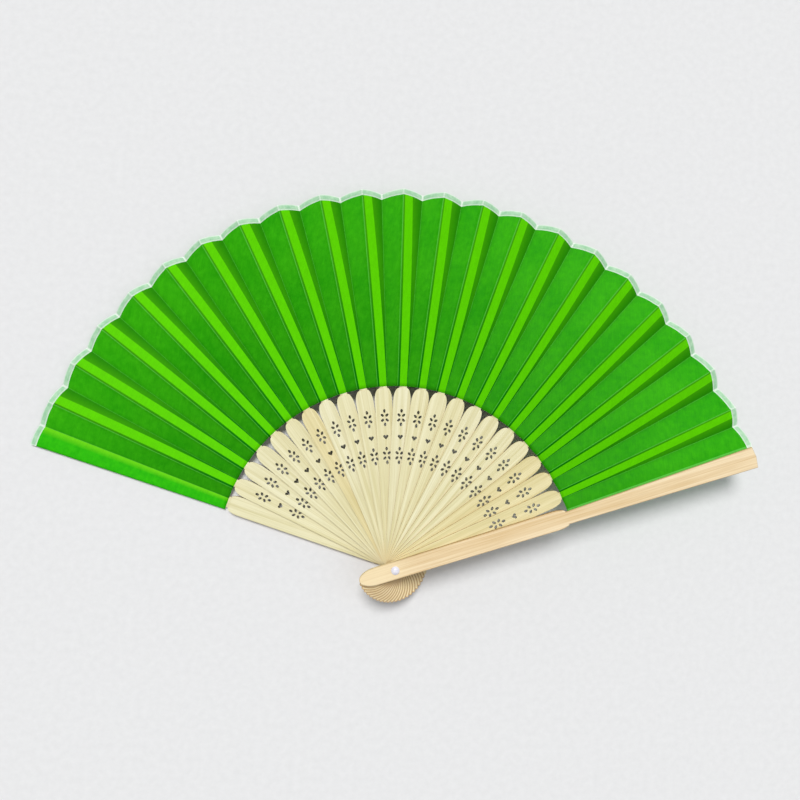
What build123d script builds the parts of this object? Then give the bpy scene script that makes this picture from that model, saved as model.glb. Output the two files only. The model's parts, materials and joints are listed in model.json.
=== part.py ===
"""A folding hand fan, lying open: flat wooden sticks on one rivet, with a pleated cloth leaf.

Millimetres and degrees, +Z up. The origin is on the rivet's axis, on the outer face of the back
guard, and +Y runs up the middle of the open fan. Sticks count from the back guard, 0, which is
lowest and furthest left, to the front guard, which lies on top. A stick is drawn in its own frame:
x runs from the rivet to its tip, and y points towards the back guard's side of the fan.
"""

import os
from math import atan, cos, degrees, pi, radians, sin, tan

from build123d import *

# --- the open fan ---
RIBS = 21
FRONT = RIBS + 1  # the front guard's number
OPENING = 143.6  # between the guards' middle lines
# the ribs hang behind an even spread, by waves across the fan: (half-waves, degrees)
LAG_WAVES = ((1, 0.66), (2, 0.62), (3, -0.18), (7, -0.13))

# --- the stack of sticks ---
GUARD_THICKNESS = 2.4
RIB_THICKNESS = 0.9
RUNNING_GAP = 0.05
RIB_PITCH = RIB_THICKNESS + RUNNING_GAP

# --- outlines: (towards the front guard, towards the back guard) of the stick's line ---
BUTT_LENGTH = 8.5  # of the rounded or pointed end below the rivet
BACK_BUTT, RIB_BUTT, FRONT_BUTT = 18.6, 18.7, 18.0  # from the rivet to the butt's end
RIB_BUTT_ROUNDING = 0.8
SHOULDER_START = 82.6
RIB_NECK = 89
GUARD_NECK = 88.6
RIB_AT_RIVET = (-4.2, 4.2)
RIB_AT_SHOULDER = (-4.3, 4.5)
# the guards' edges at the rivet, the shoulder, the neck and the tip
BACK_GUARD_EDGES = ((-3.8, 3.8), (-4.6, 4.8), (-2.9, 2.7), (-3.7, 4.9))
BACK_GUARD_TIP = 188.2  # hidden behind the leaf
FRONT_GUARD_EDGES = ((-4.2, 4.0), (-5.2, 4.4), (-3.7, 2.6), (-4.8, 6.0))
FRONT_GUARD_TIP = 191.2
TIP_POINT = 0.8  # a guard's tip comes to a very blunt point
GUARD_CHAMFER = 0.35

# --- the pattern pierced through each rib ---
FLOWERS = (54.9, 74.0)
HEART = 64.2
PETAL_LENGTH, PETAL_WIDTH = 1.9, 1.25
END_PETAL = 3.42  # from the flower's middle
SIDE_PETAL = (1.26, 1.18)
SIDE_PETAL_TURN = 45
HEART_LOBE, HEART_LOBE_AT = 0.64, (0.45, 0.68)
HEART_POINT = -1.25
HEART_FLARE = 30  # the lobes run into the heart's straight sides this far past their widest line

# --- the upper part of each rib: a thin strip, glued behind the leaf ---
APEX = 0.78  # all of the leaf's folds point to a spot this far beside the rivet
FOLD_TURN = 1.2  # a stick's mountain fold, against its own line
STRIP_WIDTH, STRIP_THICKNESS = 4.0, 0.35
STRIP_BESIDE_FOLD = 2.85  # from the mountain fold to the strip's middle
STRIP_START, STRIP_END = 90, 186.5
NECK_THICKNESS = 0.5

# --- the leaf: from each mountain fold it falls to a valley fold, under the next strip ---
LEAF_THICKNESS = 0.15
LEAF_INNER = 90
RIM_PEAK, RIM_VALLEY = 190.9, 189.0
FALL_TURN = 3.1  # between a mountain fold and its valley fold, seen from above
FULL_SLOPE = 0.384
FIRST_SLOPE, SLOPE_STEP = 0.2, 0.046  # the lowest pleats are shallower, to clear the back guard
LAST_SLOPE = 0.25
FOLD_CLEARANCE = 0.3
BACK_BAND = ((LEAF_INNER, 3.7), (RIM_PEAK, 6.2))  # the leaf's free edge, on the back guard

# --- the guards are thinned inside, where the folded leaf lies between them ---
RELIEF_START = 88.3
RELIEF_DEPTH = 1.3
RELIEF_LENGTH, RELIEF_WIDTH = 110, 20

# --- the rivet ---
SHANK_RADIUS = 1.25
STICK_BORE = SHANK_RADIUS + 0.05
REAR_HEAD_RADIUS, REAR_HEAD_THICKNESS = 2.2, 0.6
CAP_RADIUS, CAP_HEIGHT, CAP_RIM = 2.05, 1.25, 0.3
SHANK_IN_CAP = 0.5


def heading(stick):
    """The direction of a stick, from +X."""
    share = stick / FRONT
    lag = sum(size * sin(waves * pi * share) for waves, size in LAG_WAVES)
    return 90 + OPENING / 2 - OPENING * share - lag


def height(stick):
    """The height of a stick's lower face."""
    return GUARD_THICKNESS + RUNNING_GAP + (stick - 1) * RIB_PITCH if stick else 0


def level_plane(stick, turn, base):
    """A level plane at a stick, with x turned from the stick's line."""
    angle = radians(heading(stick) + turn)
    return Plane(origin=base, x_dir=(cos(angle), sin(angle), 0), z_dir=(0, 0, 1))


def stick_plane(stick, above=0):
    return level_plane(stick, 0, (0, 0, height(stick) + above))


def fold_frame(stick):
    """At a rib's mid-height: x runs along its mountain fold, y across."""
    apex = stick_plane(stick, RIB_THICKNESS / 2).from_local_coords((0, APEX, 0))
    return level_plane(stick, FOLD_TURN, apex)


def section(frame, along, across, up=0):
    """A plane that cuts straight across a frame's x direction, with its own y upwards."""
    origin = frame.from_local_coords((along, across, up))
    return Plane(origin=origin, x_dir=frame.y_dir, z_dir=frame.x_dir)


def slope(stick):
    """How steeply the leaf falls from a rib's mountain fold."""
    if stick == RIBS:
        return LAST_SLOPE
    return min(FULL_SLOPE, FIRST_SLOPE + SLOPE_STEP * (stick - 1))


def fold_rise(stick):
    """The mountain fold's height over the rib's mid-plane: the leaf lies on the strip."""
    tilt = atan(slope(stick))
    return STRIP_THICKNESS / 2 / cos(tilt) + STRIP_BESIDE_FOLD * tan(tilt)


# --- sketches ---
def draw_blade(butt, at_rivet, at_shoulder, at_neck, neck, pointed):
    """The lower half of a stick: its butt, straight edges, and shoulders rounded to the neck.
    A pointed butt has two arcs that meet at its end, and a blunt one is half an oval."""
    rivet_low, rivet_high = at_rivet
    low, high = at_shoulder
    neck_low, neck_high = at_neck
    butt_start = BUTT_LENGTH - butt
    middle = (rivet_low + rivet_high) / 2
    with BuildLine() as outline:
        if pointed:
            TangentArc((butt_start, rivet_high), (-butt, middle), tangent=(-1, 0))
            TangentArc((butt_start, rivet_low), (-butt, middle), tangent=(-1, 0))
        else:
            oval = (BUTT_LENGTH, (rivet_high - rivet_low) / 2)
            EllipticalCenterArc((butt_start, middle), *oval, start_angle=90, arc_size=180)
        Line((butt_start, rivet_low), (SHOULDER_START, low))
        low_shoulder = (neck - SHOULDER_START, neck_low - low)
        EllipticalCenterArc((SHOULDER_START, neck_low), *low_shoulder, start_angle=270)
        Line((neck, neck_low), (neck, neck_high))
        high_shoulder = (neck - SHOULDER_START, high - neck_high)
        EllipticalCenterArc((SHOULDER_START, neck_high), *high_shoulder, start_angle=0)
        Line((SHOULDER_START, high), (butt_start, rivet_high))
    make_face(outline.edges())


def pierce_flower(middle):
    """Six petals: two in line with the stick, and four between them that point inwards."""
    petal = (PETAL_LENGTH / 2, PETAL_WIDTH / 2)
    along, across = SIDE_PETAL
    for end in (-1, 1):
        with Locations((middle + end * END_PETAL, 0)):
            Ellipse(*petal, mode=Mode.SUBTRACT)
        for side in (-1, 1):
            turn = SIDE_PETAL_TURN * end * side
            with Locations((middle + end * along, side * across)):
                Ellipse(*petal, rotation=turn, mode=Mode.SUBTRACT)


def pierce_heart():
    """Two round lobes towards the leaf and a point towards the rivet."""
    lobe_along, lobe_across = HEART_LOBE_AT
    left_lobe = (HEART + lobe_along, lobe_across)
    right_lobe = (HEART + lobe_along, -lobe_across)
    with Locations(left_lobe, right_lobe):
        Circle(HEART_LOBE, mode=Mode.SUBTRACT)
    flare = radians(HEART_FLARE)
    foot = HEART + lobe_along - HEART_LOBE * sin(flare)
    side = lobe_across + HEART_LOBE * cos(flare)
    corners = ((HEART + HEART_POINT, 0), (foot, side), left_lobe, right_lobe, (foot, -side))
    Polygon(*corners, align=None, mode=Mode.SUBTRACT)


# --- pieces ---
def save(piece, name):
    piece.part.label = name
    export_step(piece.part, f"parts/{name}.step")


def make_rib(stick):
    neck_middle = APEX + RIB_NECK * tan(radians(FOLD_TURN)) - STRIP_BESIDE_FOLD
    at_neck = (neck_middle - STRIP_WIDTH / 2, neck_middle + STRIP_WIDTH / 2)
    tilt = degrees(atan(slope(stick)))
    fold = fold_frame(stick)
    strip_start = section(fold, STRIP_START, -STRIP_BESIDE_FOLD)

    with BuildPart() as rib:
        with BuildSketch(stick_plane(stick)):
            draw_blade(RIB_BUTT, RIB_AT_RIVET, RIB_AT_SHOULDER, at_neck, RIB_NECK, pointed=True)
            fillet(vertices().sort_by(Axis.X)[0], RIB_BUTT_ROUNDING)
            Circle(STICK_BORE, mode=Mode.SUBTRACT)
            for middle in FLOWERS:
                pierce_flower(middle)
            pierce_heart()
        extrude(amount=RIB_THICKNESS)
        with BuildSketch(section(stick_plane(stick, RIB_THICKNESS / 2), RIB_NECK, neck_middle)):
            Rectangle(STRIP_WIDTH, NECK_THICKNESS)
        with BuildSketch(strip_start):
            Rectangle(STRIP_WIDTH, STRIP_THICKNESS, rotation=tilt)
        loft()
        with BuildSketch(strip_start):
            Rectangle(STRIP_WIDTH, STRIP_THICKNESS, rotation=tilt)
        extrude(amount=STRIP_END - STRIP_START)
    save(rib, f"rib_{stick:02d}")


def draw_guard(butt, at_rivet, at_shoulder, at_neck, at_tip, tip):
    draw_blade(butt, at_rivet, at_shoulder, at_neck, GUARD_NECK, pointed=False)
    (neck_low, neck_high), (tip_low, tip_high) = at_neck, at_tip
    corner = tip - TIP_POINT
    corners = (
        (GUARD_NECK, neck_low), (corner, tip_low), (tip, (tip_low + tip_high) / 2),
        (corner, tip_high), (GUARD_NECK, neck_high),
    )
    Polygon(*corners, align=None)


def cut_relief(stick, above):
    """Thins a guard from its inner face, over the length of the leaf."""
    with BuildSketch(stick_plane(stick, above)) as pocket:
        with Locations((RELIEF_START, 0)):
            Rectangle(RELIEF_LENGTH, RELIEF_WIDTH, align=(Align.MIN, Align.CENTER))
    extrude(pocket.sketch, amount=RELIEF_DEPTH, mode=Mode.SUBTRACT)


def make_back_guard():
    with BuildPart() as back_guard:
        with BuildSketch(stick_plane(0)):
            draw_guard(BACK_BUTT, *BACK_GUARD_EDGES, BACK_GUARD_TIP)
        extrude(amount=GUARD_THICKNESS)
        chamfer(back_guard.faces().sort_by(Axis.Z)[0].edges(), GUARD_CHAMFER)
        cut_relief(0, GUARD_THICKNESS - RELIEF_DEPTH)
        with Locations(stick_plane(0)):
            Hole(SHANK_RADIUS)
        with BuildSketch():
            Circle(REAR_HEAD_RADIUS)
        extrude(amount=REAR_HEAD_THICKNESS, mode=Mode.SUBTRACT)
    save(back_guard, "back_guard")


def make_front_guard():
    with BuildPart() as front_guard:
        with BuildSketch(stick_plane(FRONT)):
            draw_guard(FRONT_BUTT, *FRONT_GUARD_EDGES, FRONT_GUARD_TIP)
        extrude(amount=GUARD_THICKNESS)
        chamfer(front_guard.faces().sort_by(Axis.Z)[-1].edges(), GUARD_CHAMFER)
        cut_relief(FRONT, 0)
        with Locations(stick_plane(FRONT)):
            Hole(STICK_BORE)
    save(front_guard, "front_guard")


def make_rivet():
    top = height(FRONT) + GUARD_THICKNESS + RUNNING_GAP
    with BuildPart() as rivet_pin:
        with BuildSketch():
            Circle(REAR_HEAD_RADIUS)
        extrude(amount=REAR_HEAD_THICKNESS)
        with BuildSketch():
            Circle(SHANK_RADIUS)
        extrude(amount=top + SHANK_IN_CAP)
    save(rivet_pin, "rivet_pin")

    with BuildPart() as rivet_cap:
        with BuildSketch(Plane.XZ):
            with BuildLine():
                Line((SHANK_RADIUS, top), (CAP_RADIUS, top))
                Line((CAP_RADIUS, top), (CAP_RADIUS, top + CAP_RIM))
                TangentArc((0, top + CAP_HEIGHT), (CAP_RADIUS, top + CAP_RIM), tangent=(1, 0))
                Line((0, top + CAP_HEIGHT), (0, top + SHANK_IN_CAP))
                Line((0, top + SHANK_IN_CAP), (SHANK_RADIUS, top + SHANK_IN_CAP))
                Line((SHANK_RADIUS, top + SHANK_IN_CAP), (SHANK_RADIUS, top))
            make_face()
        revolve(axis=Axis.Z)
    save(rivet_cap, "rivet_cap")


def pleat_name(stick):
    return f"leaf_pleat_{stick + 1:02d}"


def flat_point(plane, point):
    """A point of space in a plane's own two coordinates."""
    local = plane.to_local_coords(Vector(point))
    return (local.X, local.Y)


def next_fold(stick, frame, along):
    """Where the next stick's mountain fold passes, just short of it, in this frame's x and y."""
    if stick == RIBS:
        ahead = level_plane(FRONT, 0, frame.origin)
    else:
        ahead = fold_frame(stick + 1)
    local = frame.to_local_coords(ahead.from_local_coords((along, FOLD_CLEARANCE, 0)))
    return local.X, local.Y


def make_pleat(stick):
    """The cloth between a rib's mountain fold and the next one's. It slopes down over the rib's
    strip to the valley fold, and goes on level from there, so that folded pleats nest."""
    frame = fold_frame(stick)
    fall = slope(stick)
    tilt = atan(fall)
    turn = tan(radians(FALL_TURN))
    apex = frame.from_local_coords((0, 0, fold_rise(stick)))
    outwards = frame.z_dir * cos(tilt) - frame.y_dir * sin(tilt)
    falling = Plane(apex, x_dir=frame.x_dir, z_dir=outwards)

    def on_level_panel(along, across):
        """A point of the level panel, which sinks outwards together with the valley fold."""
        return frame.from_local_coords((along, across, fold_rise(stick) - along * turn * fall))

    valley = [on_level_panel(along, -along * turn) for along in (LEAF_INNER, RIM_VALLEY)]
    ahead = [on_level_panel(*next_fold(stick, frame, along)) for along in (RIM_PEAK, LEAF_INNER)]
    along_valley = (valley[1] - valley[0]).normalized()
    level = Plane(valley[0], x_dir=along_valley, z_dir=along_valley.cross(frame.y_dir))

    with BuildPart() as pleat:
        with BuildSketch(falling):
            inner, outer = (flat_point(falling, point) for point in valley)
            Polygon((LEAF_INNER, 0), (RIM_PEAK, 0), outer, inner, align=None)
        extrude(amount=LEAF_THICKNESS)
        with BuildSketch(level):
            corners = [flat_point(level, point) for point in (*valley, *ahead)]
            Polygon(*corners, align=None)
        extrude(amount=LEAF_THICKNESS)
    save(pleat, pleat_name(stick))


def make_first_pleat():
    """The leaf's end, glued flat on the back guard's thinned face and going on to the first rib."""
    frame = stick_plane(0, GUARD_THICKNESS - RELIEF_DEPTH)
    ahead = [next_fold(0, frame, along) for along in (RIM_PEAK, LEAF_INNER)]
    with BuildPart() as pleat:
        with BuildSketch(frame):
            Polygon(*BACK_BAND, *ahead, align=None)
        extrude(amount=LEAF_THICKNESS)
    save(pleat, pleat_name(0))


os.makedirs("parts", exist_ok=True)
make_back_guard()
make_front_guard()
make_rivet()
make_first_pleat()
for number in range(1, FRONT):
    make_rib(number)
    make_pleat(number)
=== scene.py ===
"""The looks of a folding hand fan: bamboo sticks, a pleated silky leaf with a pale rim tape, a
pearly rivet, a plain floor, soft light and a camera. Lengths are written in millimetres and
turned into metres by MM.

Sticks count from the back guard, 0, lowest and furthest left, to the front guard, 22, on top. Each
pleat hangs between two sticks: it slopes down over the first stick's strip to a valley fold, and
rises to the next stick's mountain fold.
"""

import json
from math import atan, cos, pi, radians, sin, tan

import bpy
import numpy as np
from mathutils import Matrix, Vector


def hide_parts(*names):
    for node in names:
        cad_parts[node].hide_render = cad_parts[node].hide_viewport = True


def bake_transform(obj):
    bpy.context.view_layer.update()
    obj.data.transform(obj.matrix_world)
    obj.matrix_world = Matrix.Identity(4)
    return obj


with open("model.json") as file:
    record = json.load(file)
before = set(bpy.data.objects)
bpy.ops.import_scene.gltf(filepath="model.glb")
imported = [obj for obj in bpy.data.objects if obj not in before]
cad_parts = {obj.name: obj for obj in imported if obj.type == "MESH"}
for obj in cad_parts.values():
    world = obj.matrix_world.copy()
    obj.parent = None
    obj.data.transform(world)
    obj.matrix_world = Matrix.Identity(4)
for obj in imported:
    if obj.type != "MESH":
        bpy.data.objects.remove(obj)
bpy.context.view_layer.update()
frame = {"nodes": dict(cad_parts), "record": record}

MM = 0.001

# --- the sticks' places, in mm and degrees ---
RIBS = 21
FRONT = RIBS + 1
GUARD_THICKNESS = 2.4
RIB_THICKNESS = 0.9
RUNNING_GAP = 0.05
RIB_PITCH = RIB_THICKNESS + RUNNING_GAP
RELIEF_DEPTH = 1.3  # the guards are thinned inside by this much, for the leaf
STRIP_THICKNESS = 0.35
STRIP_BESIDE_FOLD = 2.85  # from a mountain fold to the middle of the strip behind the leaf
STRIP_WIDTH = 4.0
STRIP_HIDDEN = 0.2  # the wood shines through this much less of each side at the inner edge
POINT_START, POINT_LENGTH, BUTT_HALF = -10.2, 8.5, 4.2  # of a rib's butt
PATTERN_START, PATTERN_END, PATTERN_HALF = 50, 79, 3.3  # the pierced part of a rib

# --- the leaf, in mm and degrees: places along and across a stick's mountain fold ---
APEX = 0.78  # the folds point to a spot this far beside the rivet
FOLD_TURN = 1.2  # a mountain fold's turn against its stick's middle line
LEAF_INNER = 89.8
RIM_PEAK, RIM_VALLEY = 190.9, 189.0
FIRST_VALLEY = 190.6  # the first valley fold's end: the rim hardly dips there
FALL_TURN = 3.1  # from a mountain fold to its valley fold, seen from above
FIRST_FALL_TURN, LAST_FALL_TURN = 2.9, 2.75
# how steeply the strips are tilted: more from rib to rib up to the full slope
FIRST_SLOPE, SLOPE_STEP, FULL_SLOPE, LAST_SLOPE = 0.2, 0.046, 0.384, 0.25
BACK_BAND = ((LEAF_INNER, 4.0), (191.4, 5.9))  # the leaf's free edge, on the back guard
FRONT_FOLD = ((LEAF_INNER, 3.4), (RIM_PEAK, 7.0))  # where the leaf goes under the front guard
FRONT_BAND = ((LEAF_INNER, -2.6), (RIM_PEAK, -4.0))  # its other end, under that guard
CLOTH = 0.1
UNDER_STRIP = STRIP_THICKNESS + CLOTH + 0.03  # between two layers of cloth with a strip between
LIP = 0.85  # this near to a mountain fold, the cloth turns up over the next strip's edge
LAST_CROWN = 0.35  # the last panel swells a little
FALL_RIPPLE, RISE_RIPPLE = 0.02, 0.07
RIM_BULGE, BULGE_FADE = 0.55, 5  # the bulge, and the power by which it fades inwards
THREAD_PITCH = 0.42

# --- the rim tape ---
TAPE_WIDTH = 2.7
TAPE_OVER_EDGE = 0.25
TAPE_PROUD = 0.12  # a layer's height over the cloth
TAPE_SWELL = 0.05  # and how much higher it is in its middle
TAPE_SEWN_EDGE = 0.15  # a thinner edge, this wide
TAPE_SEWN_SHARE = 0.4  # of the layer's height, at that edge
TAPE_RIM_HALF = 0.04  # half the tape's thickness where it turns over the rim

# --- the grids of the cloth: columns across each panel, and rows along the leaf ---
FALL_COLUMNS, RISE_COLUMNS, BAND_COLUMNS, ALONG = 9, 18, 3, 42
TAPE_FALL_COLUMNS, TAPE_RISE_COLUMNS = 4, 10

# --- the camera, matched to the sticks and the rim in the photo: metres and degrees ---
CAMERA_AT = (-0.02299, 0.06936, 0.33796)
CAMERA_TURN = (2.229, -4.18, 1.965)
CAMERA_LENS, CAMERA_SENSOR = 29.011, 36


def linear(red, green, blue):
    """A colour given as the screen shows it, 0 to 255, in the linear values that shaders take."""
    return (*[((c / 255 + 0.055) / 1.055) ** 2.4 for c in (red, green, blue)], 1)


# ------------------------------------------------------------------ where the sticks are
def sticks_headings():
    """Each stick's direction from +X, worked out from the joints and their couplings."""
    behaviour = frame["record"]["behaviour"]
    leader = next(j for j in behaviour["joints"] if j["name"] == "spread_01")
    lead = leader["range_deg"][1]
    gaps = [lead] + [lead * c["ratio"] for c in behaviour["couplings"]]
    found = [90 + sum(gaps) / 2]
    for gap in gaps:
        found.append(found[-1] - gap)
    return found


HEADINGS = sticks_headings()


def body_name(stick):
    if stick == 0:
        return "back_guard"
    return "front_guard" if stick == FRONT else f"rib_{stick:02d}"


def height(stick):
    return GUARD_THICKNESS + RUNNING_GAP + (stick - 1) * RIB_PITCH if stick else 0


def slope(stick):
    if stick == RIBS:
        return LAST_SLOPE
    return min(FULL_SLOPE, FIRST_SLOPE + SLOPE_STEP * (stick - 1))


def turned(stick, along, across):
    """A place beside a stick's middle line, as seen from above, in the row's x and y."""
    angle = radians(HEADINGS[stick])
    x = along * cos(angle) - across * sin(angle)
    return np.array([x, along * sin(angle) + across * cos(angle)])


def beside_fold(stick, along, across):
    """A place beside a stick's mountain fold. across is positive towards the back guard."""
    turn = radians(FOLD_TURN)
    x = along * cos(turn) - across * sin(turn)
    return turned(stick, x, APEX + along * sin(turn) + across * cos(turn))


def fold_height(stick):
    """The height of a rib's mountain fold: the leaf lies on the tilted strip."""
    tilt = atan(slope(stick))
    rise = STRIP_THICKNESS / 2 / cos(tilt) + STRIP_BESIDE_FOLD * tan(tilt)
    return height(stick) + RIB_THICKNESS / 2 + rise + CLOTH / 2


BACK_FACE = GUARD_THICKNESS - RELIEF_DEPTH + CLOTH  # the leaf on the back guard
FRONT_FACE = height(FRONT) + RELIEF_DEPTH - CLOTH  # and under the front guard


# ------------------------------------------------------------------ the cloth's shape
def lerp(start, end, share):
    return tuple(a + (b - a) * share for a, b in zip(start, end))


def along_fold(end, share):
    """The distance along a fold: share runs from the leaf's inner edge, 0, to the end, 1."""
    return LEAF_INNER + (end - LEAF_INNER) * share


def fall_turn(stick):
    """How far across a valley fold lies from its mountain fold, for each unit along."""
    return tan(radians({0: FIRST_FALL_TURN, RIBS: LAST_FALL_TURN}.get(stick, FALL_TURN)))


def falling_panel(stick, share, across):
    """A point of the panel over a stick's own strip. share runs from the leaf's inner edge, 0,
    to its rim, 1, and across from the mountain fold, 0, to the valley fold, 1."""
    if stick == 0:
        start = np.array([*turned(0, *lerp(*BACK_BAND, share)), BACK_FACE])
        return start + (valley_point(0, share) - start) * across
    start, end = along_fold(RIM_PEAK, share), along_fold(RIM_VALLEY, share)
    along = start + (end - start) * across
    down = along * fall_turn(stick) * across
    place = beside_fold(stick, along, -down)
    return np.array([*place, fold_height(stick) - down * slope(stick)])


def valley_point(stick, share):
    if stick == 0:
        along = along_fold(FIRST_VALLEY, share)
        place = beside_fold(0, along, -along * fall_turn(0))
        return np.array([*place, BACK_FACE])
    return falling_panel(stick, share, 1)


def mountain_point(stick, share):
    """The mountain fold that a rising panel reaches."""
    if stick == FRONT:
        return np.array([*turned(FRONT, *lerp(*FRONT_FOLD, share)), FRONT_FACE])
    return falling_panel(stick, share, 0)


def rising_panel(stick, share, across):
    """A point of the panel from a valley fold, 0, to the next mountain fold, 1. It keeps under
    the next stick's strip when the fan is closed, and turns up over the strip's edge."""
    low, high = valley_point(stick, share), mountain_point(stick + 1, share)
    point = low + (high - low) * across
    if stick == RIBS:
        point[2] += LAST_CROWN * sin(pi * across)
        return point
    width = along_fold(RIM_VALLEY, share) * fall_turn(stick)
    beside = width * (1 - across)
    next_slope = slope(stick + 1)
    whole_drop = high[2] - next_slope * width - low[2]
    if beside < LIP:
        drop = UNDER_STRIP * beside / LIP
    else:
        drop = UNDER_STRIP + (whole_drop - UNDER_STRIP) * (beside - LIP) / (width - LIP)
    point[2] = high[2] - next_slope * beside - drop
    return point


def ripple(stick, share, across, size):
    """Silk isn't quite flat between its folds: slow waves that die out at the folds."""
    slow = sin(5.1 * pi * share + 2.3 * stick + 1.9 * across)
    quick = 0.5 * sin(13.7 * pi * share - 1.7 * stick + 4.1 * across)
    return np.array([0, 0, sin(pi * across) * size * (slow + quick)])


def fuller_rim(point, share, across):
    """The leaf bulges outwards between its folds, more and more towards the rim."""
    bulge = RIM_BULGE * share ** BULGE_FADE * sin(pi * across)
    outwards = point * (1, 1, 0) / np.linalg.norm(point[:2])
    return point + outwards * bulge


def leaf_point(stick, share, across):
    """A point of a pleat. across runs from its mountain fold, 0, over its valley fold, 1, to the
    next mountain fold, 2. The last pleat goes on under the front guard, to 3."""
    if across <= 1:
        point = falling_panel(stick, share, across) + ripple(stick, share, across, FALL_RIPPLE)
        return fuller_rim(point, share, across)
    if across <= 2:
        across -= 1
        point = rising_panel(stick, share, across) + ripple(stick + 7, share, across, RISE_RIPPLE)
        return fuller_rim(point, share, across)
    near = mountain_point(FRONT, share)
    far = np.array([*turned(FRONT, *lerp(*FRONT_BAND, share)), FRONT_FACE])
    return near + (far - near) * (across - 2)


def polygon_area(corners):
    total = 0
    for i in range(1, len(corners) - 1):
        total += np.linalg.norm(np.cross(corners[i] - corners[0], corners[i + 1] - corners[0])) / 2
    return total


def flat_size(stick):
    """The cut of one pleat: its panels' widths at the rim, its length and its area."""
    last = 3 if stick == RIBS else 2
    folds = range(last + 1)
    inner, outer = ([leaf_point(stick, share, fold) for fold in folds] for share in (0, 1))
    widths = [np.linalg.norm(b - a) for a, b in zip(outer, outer[1:])]
    corners = [[inner[i], outer[i], outer[i + 1], inner[i + 1]] for i in range(last)]
    area = sum(polygon_area(panel) for panel in corners)
    return widths, RIM_PEAK - LEAF_INNER, area


def cut_turns():
    """How far round the flat cut each pleat starts, in radians from the back guard's end."""
    found = [0]
    for stick in range(FRONT):
        found.append(found[-1] + sum(flat_size(stick)[0][:2]) / RIM_PEAK)
    return found


CUT_TURNS = cut_turns()


def cut_place(stick, share, across):
    """Where a point of a pleat lies in the flat cut, in mm: the threads run along x and y."""
    radius = along_fold(RIM_PEAK, share)
    angle = CUT_TURNS[stick] + (CUT_TURNS[stick + 1] - CUT_TURNS[stick]) * across / 2
    return radius * sin(angle), radius * cos(angle)


# ------------------------------------------------------------------ the cloth's meshes
def stops(*panels):
    """The edges of the columns across a pleat, from each panel's number of columns. A panel is
    one unit wide."""
    found = [0]
    for panel, columns in enumerate(panels):
        found += [panel + (column + 1) / columns for column in range(columns)]
    return found


def cloth_mesh(name, stick, rows, across, materials):
    """An object from rows of (share along the leaf, its place on the map, height over the cloth).
    Each panel has its own material, and the folds between panels stay sharp."""
    columns = len(across)
    points, places, cuts = [], [], []
    for share, map_place, over in rows:
        for stop in across:
            point = leaf_point(stick, share, stop) + np.array([0, 0, over])
            points.append(tuple(point * MM))
            places.append((stop, map_place))
            cuts.append(cut_place(stick, share, stop))
    faces, slots = [], []
    for row in range(len(rows) - 1):
        for column in range(columns - 1):
            first = row * columns + column
            faces.append((first, first + 1, first + 1 + columns, first + columns))
            slots.append(min(int(across[column]), len(materials) - 1))
    mesh = bpy.data.meshes.new(name)
    mesh.from_pydata(points, [], faces)
    for layer_name, values in (("places", places), ("cut", cuts)):
        layer = mesh.uv_layers.new(name=layer_name)
        for loop in mesh.loops:
            layer.data[loop.index].uv = values[loop.vertex_index]
    for material in materials:
        mesh.materials.append(material)
    mesh.polygons.foreach_set("material_index", slots)
    mesh.polygons.foreach_set("use_smooth", [True] * len(faces))
    for edge in mesh.edges:
        start, end = (across[v % columns] for v in edge.vertices)
        edge.use_edge_sharp = start == end and 0 < start < across[-1] and start == int(start)
    piece = bpy.data.objects.new(name, mesh)
    bpy.context.scene.collection.objects.link(piece)
    bend(piece, stick)
    return piece


def bend(piece, stick):
    """Bakes the piece's placement into its mesh."""
    start, end = valley_point(stick, 0.5) * MM, mountain_point(stick + 1, 0.5) * MM
    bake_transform(piece)


def panel_columns(stick, fall, rise):
    """The columns of a pleat's panels. The last pleat has one more, under the front guard."""
    return (fall, rise, BAND_COLUMNS) if stick == RIBS else (fall, rise)


def make_pleat(stick, materials):
    rows = [(row / ALONG, row / ALONG, 0) for row in range(ALONG + 1)]
    across = stops(*panel_columns(stick, FALL_COLUMNS, RISE_COLUMNS))
    pleat = cloth_mesh(f"silk_pleat_{stick + 1:02d}", stick, rows, across, materials)
    solid = pleat.modifiers.new("thickness", "SOLIDIFY")
    solid.thickness = CLOTH * MM
    solid.offset = 0
    return pleat


def make_tape(stick, material):
    """The tape is folded over the rim: a front and a back layer that meet past the cloth's edge.
    Each row is the distance inwards from the cloth's edge, the place on the map, from the sewn
    edge, 0, to the rim, 1, and the height over the cloth."""
    length = RIM_PEAK - LEAF_INNER
    front = [
        (TAPE_WIDTH, 0.0, TAPE_PROUD * TAPE_SEWN_SHARE),
        (TAPE_WIDTH - TAPE_SEWN_EDGE, 0.06, TAPE_PROUD),
        (TAPE_WIDTH / 2, 0.5, TAPE_PROUD + TAPE_SWELL),
        (0.0, 0.9, TAPE_PROUD),
        (-TAPE_OVER_EDGE, 1.0, TAPE_RIM_HALF),
    ]
    section = front + [(back, place, -over) for back, place, over in reversed(front)]
    rows = [(1 - back / length, place, over) for back, place, over in section + section[:1]]
    across = stops(*panel_columns(stick, TAPE_FALL_COLUMNS, TAPE_RISE_COLUMNS))
    return cloth_mesh(f"rim_tape_{stick + 1:02d}", stick, rows, across, [material])


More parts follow.
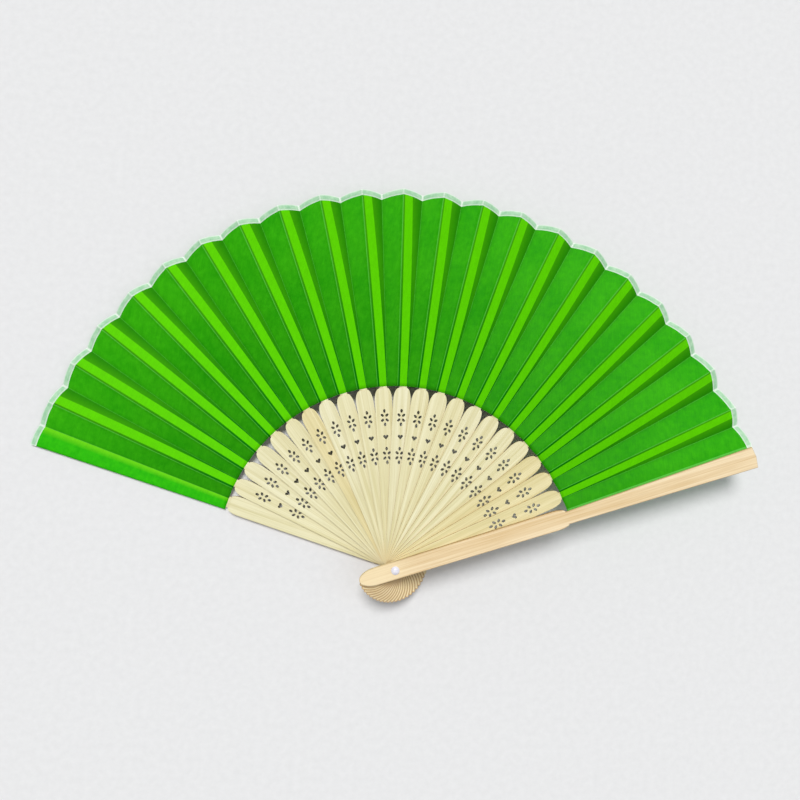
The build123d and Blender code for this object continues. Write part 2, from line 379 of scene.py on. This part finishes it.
# ------------------------------------------------------------------ materials
class Nodes:
    """A material's nodes, with one short call for each kind."""

    def __init__(self, name):
        self.material = bpy.data.materials.new(name)
        self.material.use_nodes = True
        self.tree = self.material.node_tree
        self.shader = self.tree.nodes["Principled BSDF"]

    def add(self, kind, inputs=(), **settings):
        node = self.tree.nodes.new(kind)
        for key, value in settings.items():
            setattr(node, key, value)
        for key, value in dict(inputs).items():
            self.put(node, key, value)
        return node

    def put(self, node, key, value):
        if isinstance(value, bpy.types.NodeSocket):
            self.tree.links.new(value, node.inputs[key])
        else:
            node.inputs[key].default_value = value

    def math(self, operation, a, b=0.0):
        return self.add("ShaderNodeMath", {0: a, 1: b}, operation=operation).outputs[0]

    def ramp(self, value, low, high, at_low=0.0, at_high=1.0):
        """at_low where value is low, at_high where it is high, and even steps between them."""
        inputs = {"Value": value, "From Min": low, "From Max": high}
        inputs |= {"To Min": at_low, "To Max": at_high}
        return self.add("ShaderNodeMapRange", inputs).outputs[0]

    def band(self, value, low, high, soft):
        """1 where value is between low and high, with soft edges."""
        up = self.ramp(value, low - soft, low + soft)
        down = self.ramp(value, high + soft, high - soft)
        return self.math("MULTIPLY", up, down)

    def blend(self, weighted):
        """The sum of (value, weight) pairs."""
        total = 0.0
        for value, weight in weighted:
            total = self.math("ADD", total, self.math("MULTIPLY", value, weight))
        return total

    def mix(self, share, a, b):
        node = self.add("ShaderNodeMix", {0: share, 6: a, 7: b}, data_type="RGBA")
        return node.outputs[2]

    def dim(self, color, amount):
        inputs = {0: color, "Scale": amount}
        return self.add("ShaderNodeVectorMath", inputs, operation="SCALE").outputs[0]

    def noise(self, vector, scale, detail=3.0, rough=0.55):
        """Noise stretched by its scale along each axis, from about 0.3 to 0.7."""
        place = self.add("ShaderNodeMapping", {"Vector": vector, "Scale": scale}).outputs[0]
        inputs = {"Vector": place, "Scale": 1.0, "Detail": detail, "Roughness": rough}
        return self.add("ShaderNodeTexNoise", inputs).outputs[0]

    def spread(self, *noise, low=0.32, high=0.68):
        """Noise over the whole of 0 to 1."""
        return self.ramp(self.noise(*noise), low, high)

    def bump(self, height_value, strength, distance):
        inputs = {"Height": height_value, "Strength": strength, "Distance": distance}
        self.put(self.shader, "Normal", self.add("ShaderNodeBump", inputs).outputs[0])

    def finish(self, color, roughness, **constants):
        self.put(self.shader, "Base Color", color)
        self.put(self.shader, "Roughness", roughness)
        for key, value in constants.items():
            self.shader.inputs[key.replace("_", " ")].default_value = value
        return self.material


# noise across the wood: waves in a metre along a stick, across it and through it
FIBRES, STREAKS, PORES = (24, 2300, 700), (9, 560, 260), (90, 5200, 1500)
TONES, SIDES = (35, 120, 120), (60, 900, 3200)
# painted shade: the cut sides' colours, darker than the tops, with the fibres' darker flanks
SHADED_SIDE_DARK, SHADED_SIDE_LIGHT = (150, 112, 66), (196, 160, 106)
# BUTT is a warmer tone near the rivet; the second colour is painted shade along a butt's edge
BUTT, BUTT_EDGE_SHADE = (248, 230, 188), (176, 130, 78)
# the pierced walls' char, spread over their rims as painted shade
CHAR_AND_SHADE = (16, 9, 5)


def bamboo(name, heading, light, dark, pierced):
    """Planed bamboo: fine fibres along the stick, slow streaks across it, cut sides darkened as
    painted shade, painted shade along a rib's butt, and charred walls in the pierced pattern,
    blackened further as painted shade. The fibres vary between the light and the dark colour."""
    nodes = Nodes(name)
    coordinates = nodes.add("ShaderNodeTexCoord")
    turn = {"Vector": coordinates.outputs["Object"], "Rotation": (0, 0, -radians(heading))}
    place = nodes.add("ShaderNodeMapping", turn).outputs[0]
    fibres = nodes.noise(place, FIBRES, 4.0, 0.65)
    streaks = nodes.noise(place, STREAKS, 3.0)
    pores = nodes.noise(place, PORES, 2.0)
    share = nodes.blend([
        (nodes.ramp(fibres, 0.36, 0.64), 0.4),
        (nodes.ramp(streaks, 0.38, 0.62), 0.45),
        (nodes.spread(place, TONES, 2.0), 0.15),
    ])
    color = nodes.mix(share, linear(*dark), linear(*light))
    color = nodes.dim(color, nodes.ramp(pores, 0.62, 0.74, 1.0, 0.86))
    normal = nodes.add("ShaderNodeSeparateXYZ", {0: coordinates.outputs["Normal"]})
    upright = nodes.math("ABSOLUTE", normal.outputs[2])
    # painted shade: steep faces take the darker side colour
    color = nodes.mix(nodes.ramp(upright, 0.92, 0.45), color, shaded_cut_side(nodes, place))
    xyz = nodes.add("ShaderNodeSeparateXYZ", {0: place})
    near_butt = nodes.ramp(xyz.outputs[0], 12 * MM, -6 * MM, 0, 0.6)
    color = nodes.mix(near_butt, color, linear(*BUTT))
    if pierced:
        # painted shade: a dark line along the butt's edge, under the stick above
        color = nodes.mix(butt_edge_shade(nodes, xyz), color, linear(*BUTT_EDGE_SHADE))
        along = nodes.band(xyz.outputs[0], PATTERN_START * MM, PATTERN_END * MM, 0.5 * MM)
        across = nodes.band(xyz.outputs[1], -PATTERN_HALF * MM, PATTERN_HALF * MM, 0.2 * MM)
        pattern = nodes.math("MULTIPLY", along, across)
        # the walls' char, and painted shade on their rims so that the holes read black
        char_and_shade = nodes.math("MULTIPLY", nodes.ramp(upright, 0.995, 0.9), pattern)
        color = nodes.mix(char_and_shade, color, linear(*CHAR_AND_SHADE))
    nodes.bump(nodes.blend([(fibres, 0.6), (streaks, 0.3), (pores, -0.2)]), 0.4, 0.00012)
    return nodes.finish(color, nodes.ramp(fibres, 0.3, 0.7, 0.42, 0.6), Specular_IOR_Level=0.3)


def butt_edge_shade(nodes, xyz):
    """The painted shade along the edge of a rib's pointed butt: 1 there, and 0 elsewhere."""
    past = nodes.math("SUBTRACT", POINT_START * MM, xyz.outputs[0])
    share = nodes.math("MAXIMUM", nodes.math("DIVIDE", past, POINT_LENGTH * MM), 0.0)
    lost = nodes.math("MULTIPLY", nodes.math("MULTIPLY", share, share), BUTT_HALF * MM)
    half = nodes.math("SUBTRACT", BUTT_HALF * MM, lost)
    inside = nodes.math("SUBTRACT", half, nodes.math("ABSOLUTE", xyz.outputs[1]))
    edge = nodes.ramp(inside, 0.7 * MM, 0.2 * MM)
    return nodes.math("MULTIPLY", edge, nodes.ramp(xyz.outputs[0], 2 * MM, -8 * MM, 0, 0.75))


def shaded_cut_side(nodes, place):
    """The cut sides, darkened as painted shade, with the ends and flanks of the fibres."""
    return nodes.mix(nodes.spread(place, SIDES, 3.0), linear(*SHADED_SIDE_DARK), linear(*SHADED_SIDE_LIGHT))


# noise in the cloth: waves in a millimetre round and along the flat cut
SLUBS, CLOUDS, PATCHES = (0.14, 3.1, 1), (0.3, 0.34, 1), (0.035, 0.03, 1)
SHEEN = (130, 230, 80)
# painted highlights: thin light lines along the folds
FOLD_HIGHLIGHT, FOLD_HIGHLIGHT_STRENGTH = (104, 204, 84), 0.7
HIGHLIGHT_WIDTH_OVER_STRIP, HIGHLIGHT_WIDTH_FREE = 0.035, 0.022  # the painted fold highlights' widths, as shares of their panels
STRIP_SOFT = 0.012  # half the width over which the strip's edge shows through
TAPE_EDGE = (234, 248, 236)


class Silk(Nodes):
    """Dyed silk. across and along are its places on the pleat's map, and the weave follows the
    flat cut, so that the threads run on from pleat to pleat."""

    def __init__(self, name):
        super().__init__(name)
        places = self.add("ShaderNodeUVMap", uv_map="places").outputs[0]
        split = self.add("ShaderNodeSeparateXYZ", {0: places})
        self.across, self.along = split.outputs[0], split.outputs[1]
        self.cut = self.add("ShaderNodeUVMap", uv_map="cut").outputs[0]
        threads = self.add("ShaderNodeSeparateXYZ", {0: self.cut})
        warp = self.math("SINE", self.math("MULTIPLY", threads.outputs[0], 2 * pi / THREAD_PITCH))
        weft = self.math("SINE", self.math("MULTIPLY", threads.outputs[1], 2 * pi / THREAD_PITCH))
        self.weave = self.math("MULTIPLY", warp, weft)
        self.slubs = self.spread(self.cut, SLUBS, 3.0)
        self.clouds = self.spread(self.cut, CLOUDS, 4.0, 0.62)

    def fold_highlight(self, color, fold, inside):
        """A thin painted highlight line that fades from a fold to inside, both places across the
        map.
        """
        return self.mix(self.ramp(self.across, inside, fold, 0, FOLD_HIGHLIGHT_STRENGTH), color, linear(*FOLD_HIGHLIGHT))

    def finish_silk(self, color, specular):
        shade = self.blend([
            (self.weave, 0.05), (self.slubs, 0.12), (self.clouds, 0.08), (1.0, 0.9),
        ])
        height_value = self.blend([(self.weave, 0.5), (self.slubs, 0.5), (self.clouds, 0.4)])
        self.bump(height_value, 0.3, 0.00012)
        return self.finish(self.dim(color, shade), self.ramp(self.clouds, 0, 1, 0.42, 0.55),
                           Specular_IOR_Level=specular, Sheen_Weight=0.08, Sheen_Roughness=0.4,
                           Sheen_Tint=linear(*SHEEN))


def silk_over_strip():
    """The panel glued over a rib's strip: bright where the pale wood lies behind it, then olive,
    and darker green towards the valley fold and the leaf's inner edge, as painted shade."""
    silk = Silk("silk_over_strip")
    near, far = strip_edges()
    start, end = (silk.ramp(silk.along, 0, 1, a, b) for a, b in zip(near, far))
    after_start = silk.ramp(silk.math("SUBTRACT", silk.across, start), -STRIP_SOFT, STRIP_SOFT)
    before_end = silk.ramp(silk.math("SUBTRACT", end, silk.across), -STRIP_SOFT, STRIP_SOFT)
    on_strip = silk.math("MULTIPLY", after_start, before_end)
    past = silk.ramp(silk.math("SUBTRACT", silk.across, end), 0.0, 0.4, 0, 0.6)
    inwards = silk.ramp(silk.along, 0.75, 0.1)
    # painted shade: darker towards the valley fold and the leaf's inner edge
    shade_share = silk.math("MAXIMUM", past, inwards)
    free = silk.mix(shade_share, linear(60, 156, 4), linear(8, 118, 3))
    color = silk.mix(on_strip, free, linear(92, 208, 1))
    color = silk.fold_highlight(color, 0.0, HIGHLIGHT_WIDTH_OVER_STRIP)
    return silk.finish_silk(color, 0.02)


def silk_free():
    """The panel with nothing behind it: a mottled sheen, with painted shade towards the sticks and
    past the valley fold.
    """
    silk = Silk("silk_free")
    patches = silk.spread(silk.cut, PATCHES, 2.0)
    share = silk.blend([(silk.clouds, 0.3), (patches, 0.4), (silk.slubs, 0.1), (1.0, 0.1)])
    color = silk.mix(share, linear(24, 144, 1), linear(60, 172, 12))
    # painted shade: darker towards the sticks
    color = silk.dim(color, silk.ramp(silk.along, 0.0, 0.9, 0.86, 1.16))
    # painted shade: darker just past the valley fold
    color = silk.dim(color, silk.ramp(silk.across, 1.03, 1.2, 0.88, 1.0))
    color = silk.fold_highlight(color, 1.0, 1 + HIGHLIGHT_WIDTH_FREE)
    color = silk.fold_highlight(color, 2.0, 2 - HIGHLIGHT_WIDTH_FREE)
    return silk.finish_silk(color, 0.05)


def silk_on_back_guard():
    """The leaf's end, brightened by the guard behind it, most of all beside the fold."""
    silk = Silk("silk_on_back_guard")
    color = silk.mix(silk.clouds, linear(38, 182, 4), linear(52, 192, 8))
    color = silk.mix(silk.ramp(silk.across, 0.62, 0.92), color, linear(104, 212, 20))
    return silk.finish_silk(color, 0.06)


def strip_edges():
    """Where the strip's edges lie across the panel over it, at the leaf's inner edge and rim."""
    turn = tan(radians(FALL_TURN))
    half = STRIP_WIDTH / 2
    found = []
    for seen_half, radius in ((half - STRIP_HIDDEN, LEAF_INNER), (half, RIM_VALLEY)):
        edges = (STRIP_BESIDE_FOLD - seen_half, STRIP_BESIDE_FOLD + seen_half)
        found.append([edge / (radius * turn) for edge in edges])
    return found


def tape_material():
    """Pale woven tape: mint in the middle, nearly white at its edges and where it is folded."""
    tape = Silk("rim_tape")
    color = tape.mix(tape.clouds, linear(150, 206, 162), linear(190, 228, 194))
    edges = tape.math("ADD", tape.ramp(tape.along, 0.3, 0.06), tape.ramp(tape.along, 0.75, 0.95))
    valley = tape.band(tape.across, 0.96, 1.04, 0.03)
    mountain = tape.math("ADD", tape.ramp(tape.across, 0.06, 0.0),
                         tape.ramp(tape.across, 1.94, 2.0))
    white = tape.blend([(edges, 0.8), (valley, 1.0), (mountain, 0.7)])
    color = tape.mix(tape.math("MINIMUM", white, 1.0), color, linear(*TAPE_EDGE))
    tape.bump(tape.weave, 0.3, 0.00015)
    return tape.finish(color, 0.55, Specular_IOR_Level=0.25, Sheen_Weight=0.15)


def pearl():
    """The rivet's glossy plastic, with a faint cloudy shimmer."""
    nodes = Nodes("rivet_pearl")
    place = nodes.add("ShaderNodeTexCoord").outputs["Object"]
    clouds = nodes.noise(place, (700, 700, 700), 3.0)
    color = nodes.mix(nodes.ramp(clouds, 0.35, 0.65), linear(222, 220, 236), linear(244, 242, 250))
    nodes.bump(clouds, 0.05, 0.0002)
    roughness = nodes.ramp(clouds, 0.3, 0.7, 0.3, 0.4)
    return nodes.finish(color, roughness, Coat_Weight=0.6, Coat_Roughness=0.08)


# ------------------------------------------------------------------ pieces
IVORY, CREAM, STRAW = (243, 240, 208), (240, 235, 196), (238, 222, 166)
STRAW_RIBS, STRAW_SHARE = (6, 19, 20, 21), 0.45
DARK_FADE = (0.87, 0.85, 0.74)  # the dark fibres against the light ones
FRONT_LIGHT, FRONT_DARK = (248, 229, 193), (217, 185, 132)


def fibre_colors(stick):
    """Each stick's light and dark fibres: ivory to cream, with a few straw-coloured ribs."""
    if stick == FRONT:
        return FRONT_LIGHT, FRONT_DARK
    tone = 0.5 + 0.5 * sin(stick * 2.4) * sin(stick * 0.9 + 1)
    light = lerp(IVORY, CREAM, tone)
    if stick in STRAW_RIBS:
        light = lerp(CREAM, STRAW, STRAW_SHARE)
    return light, tuple(level * fade for level, fade in zip(light, DARK_FADE))


def dress(node, material):
    node.data.materials.clear()
    node.data.materials.append(material)


def dress_sticks():
    for stick in range(FRONT + 1):
        name = body_name(stick)
        pierced = 0 < stick < FRONT
        wood = bamboo(f"bamboo_{name}", HEADINGS[stick], *fibre_colors(stick), pierced)
        dress(frame["nodes"][name], wood)


def dress_rivet():
    material = pearl()
    for name in ("rivet_cap", "rivet_pin"):
        dress(frame["nodes"][name], material)


def make_leaf():
    end_band, over_strip = silk_on_back_guard(), silk_over_strip()
    free, tape = silk_free(), tape_material()
    for stick in range(FRONT):
        pleat = make_pleat(stick, [over_strip if stick else end_band, free])
        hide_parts(f"leaf_pleat_{stick + 1:02d}")
        edging = make_tape(stick, tape)
        widths, length, area = flat_size(stick)


# ------------------------------------------------------------------ the stage
FLOOR_SIZE = 40
FLOOR_DROP = 0.4  # mm below the guard, so that the two faces stay apart
HORIZON_LEVEL, OVERHEAD_LEVEL = 0.78, 0.25


def make_floor():
    bpy.ops.mesh.primitive_plane_add(size=FLOOR_SIZE, location=(0, 0, -FLOOR_DROP * MM))
    floor = bpy.context.object
    floor.name = "floor"
    nodes = Nodes("floor_paper")
    place = nodes.add("ShaderNodeTexCoord").outputs["Object"]
    tooth = nodes.noise(place, (300, 300, 300), 3.0)
    color = nodes.mix(nodes.ramp(tooth, 0.2, 0.8), linear(226, 227, 229), linear(233, 234, 236))
    floor.data.materials.append(nodes.finish(color, 0.9, Specular_IOR_Level=0.1))


def sun(name, direction, softness, strength, color):
    """Even light from a direction, soft as from a wide lamp."""
    data = bpy.data.lights.new(name, "SUN")
    data.energy, data.angle, data.color = strength, radians(softness), color
    light = bpy.data.objects.new(name, data)
    light.rotation_euler = Vector(direction).to_track_quat("Z", "Y").to_euler()
    bpy.context.scene.collection.objects.link(light)


def light_studio():
    sun("key", direction=(-0.12, 0.5, 1), softness=22, strength=2.35, color=(1, 0.99, 0.97))
    sun("fill", direction=(0.5, -0.1, 0.9), softness=60, strength=0.45, color=(0.97, 0.99, 1))
    world = bpy.data.worlds.new("studio")
    bpy.context.scene.world = world
    world.use_nodes = True
    tree = world.node_tree
    background = tree.nodes["Background"]
    background.inputs[0].default_value = (1, 1, 1, 1)
    # pale down at the horizon, where it is seen, and dimmer overhead
    up = tree.nodes.new("ShaderNodeSeparateXYZ")
    tree.links.new(tree.nodes.new("ShaderNodeTexCoord").outputs["Generated"], up.inputs[0])
    level = tree.nodes.new("ShaderNodeMapRange")
    tree.links.new(up.outputs[2], level.inputs["Value"])
    heights = {"From Min": 0.02, "From Max": 0.3}
    levels = {"To Min": HORIZON_LEVEL, "To Max": OVERHEAD_LEVEL}
    for key, value in (heights | levels).items():
        level.inputs[key].default_value = value
    tree.links.new(level.outputs[0], background.inputs[1])
    bpy.context.scene.view_settings.view_transform = "Standard"


def place_camera():
    data = bpy.data.cameras.new("camera")
    data.sensor_width = CAMERA_SENSOR
    data.lens = CAMERA_LENS
    data.clip_start, data.clip_end = 0.01, 60
    camera = bpy.data.objects.new("camera", data)
    camera.location = CAMERA_AT
    camera.rotation_euler = [radians(turn) for turn in CAMERA_TURN]
    bpy.context.scene.collection.objects.link(camera)
    bpy.context.scene.camera = camera


dress_sticks()
dress_rivet()
make_leaf()
make_floor()
light_studio()
place_camera()
